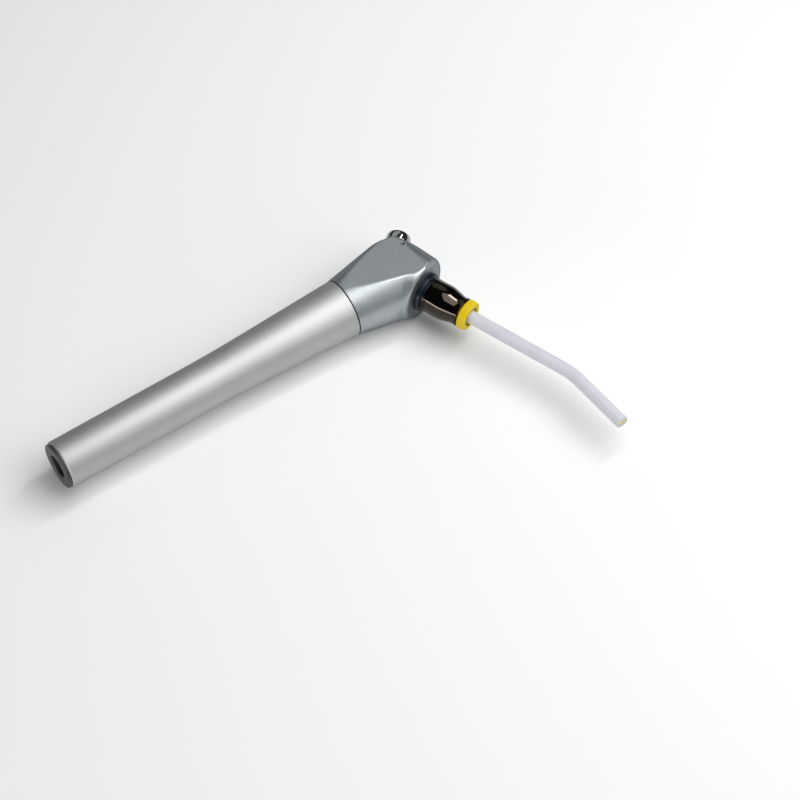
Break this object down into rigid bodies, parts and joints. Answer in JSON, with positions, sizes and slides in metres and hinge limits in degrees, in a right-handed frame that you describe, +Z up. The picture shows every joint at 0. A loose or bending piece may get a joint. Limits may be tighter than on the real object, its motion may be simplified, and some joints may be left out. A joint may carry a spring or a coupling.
{
  "type": "dental three-way syringe",
  "caption": "Dental air and water syringe: tapered metal handle, flat-sided head with push buttons, and a bent tip in a quick-change adapter.",
  "frame": {"origin": "centre of the tubing mouth in the tail bush, on the handle's axis", "axes": "+X along the handle towards the head, the tip leaves towards -Y and the buttons face +Y, +Z up with the syringe lying on its side"},
  "size_m": [0.1643, 0.1049, 0.024],
  "materials": {
    "handle_aluminium": "fine satin",
    "head_aluminium": "bead blasted, clear anodised",
    "seal_rubber": "matte",
    "black_plastic": "matte",
    "manifold_metal": "turned",
    "screw_steel": "turned",
    "brass": "turned",
    "button_chrome": "polished",
    "valve_steel": "ground",
    "spring_steel": "drawn wire",
    "black_anodised": "satin black",
    "black_chrome": "polished black",
    "collet_plastic": "smooth",
    "yellow_plastic": "satin moulded",
    "white_plastic": "satin extruded",
    "core_plastic": "extruded"
  },
  "bodies": {
    "handpiece": {"handle": "handle_aluminium", "head": "head_aluminium", "seam_ring": "seal_rubber", "tail_bush": "black_plastic", "hose_manifold": "manifold_metal", "manifold_gasket": "seal_rubber", "manifold_screws": "screw_steel", "air_barb": "brass", "water_barb": "brass", "air_valve_seat": "brass", "water_valve_seat": "brass", "air_button_screw": "screw_steel", "water_button_screw": "screw_steel", "air_spring": "spring_steel", "water_spring": "spring_steel", "adapter_body": "black_anodised", "adapter_nut": "black_chrome", "base_seal": "seal_rubber", "rear_seal": "seal_rubber", "front_seal": "seal_rubber", "water_stem": "valve_steel", "collar_spring": "spring_steel"},
    "air_valve": {"air_button": "button_chrome", "air_spool": "valve_steel", "air_spool_seals": "seal_rubber"},
    "water_valve": {"water_button": "button_chrome", "water_spool": "valve_steel", "water_spool_seals": "seal_rubber"},
    "collar": {"release_collar": "yellow_plastic"},
    "swivel": {"grip_collet": "collet_plastic"},
    "tip": {"tip_sleeve": "white_plastic", "tip_core": "core_plastic"}
  },
  "joints": [
    {"name": "air_button_press", "type": "slide", "parent": "handpiece", "child": "air_valve", "axis": [-0.7431, -0.6691, 0], "range_m": [0, 0.0016], "stiffness_N_per_m": 600, "springref_m": -0.002, "deforming": ["air_spring"]},
    {"name": "water_button_press", "type": "slide", "parent": "handpiece", "child": "water_valve", "axis": [-0.7431, -0.6691, 0], "range_m": [0, 0.0016], "stiffness_N_per_m": 600, "springref_m": -0.002, "deforming": ["water_spring"]},
    {"name": "collar_push", "type": "slide", "parent": "handpiece", "child": "collar", "axis": [-0.3608, 0.9326, 0], "range_m": [0, 0.0005], "stiffness_N_per_m": 400, "springref_m": -0.001, "deforming": ["collar_spring"]},
    {"name": "tip_swivel", "type": "hinge", "parent": "handpiece", "child": "swivel", "pos_m": [0.1348, 0, 0], "axis": [0.3608, -0.9326, 0], "continuous": true},
    {"name": "tip_pull", "type": "slide", "parent": "swivel", "child": "tip", "axis": [0.3608, -0.9326, 0], "range_m": [0, 0.025]}
  ]
}
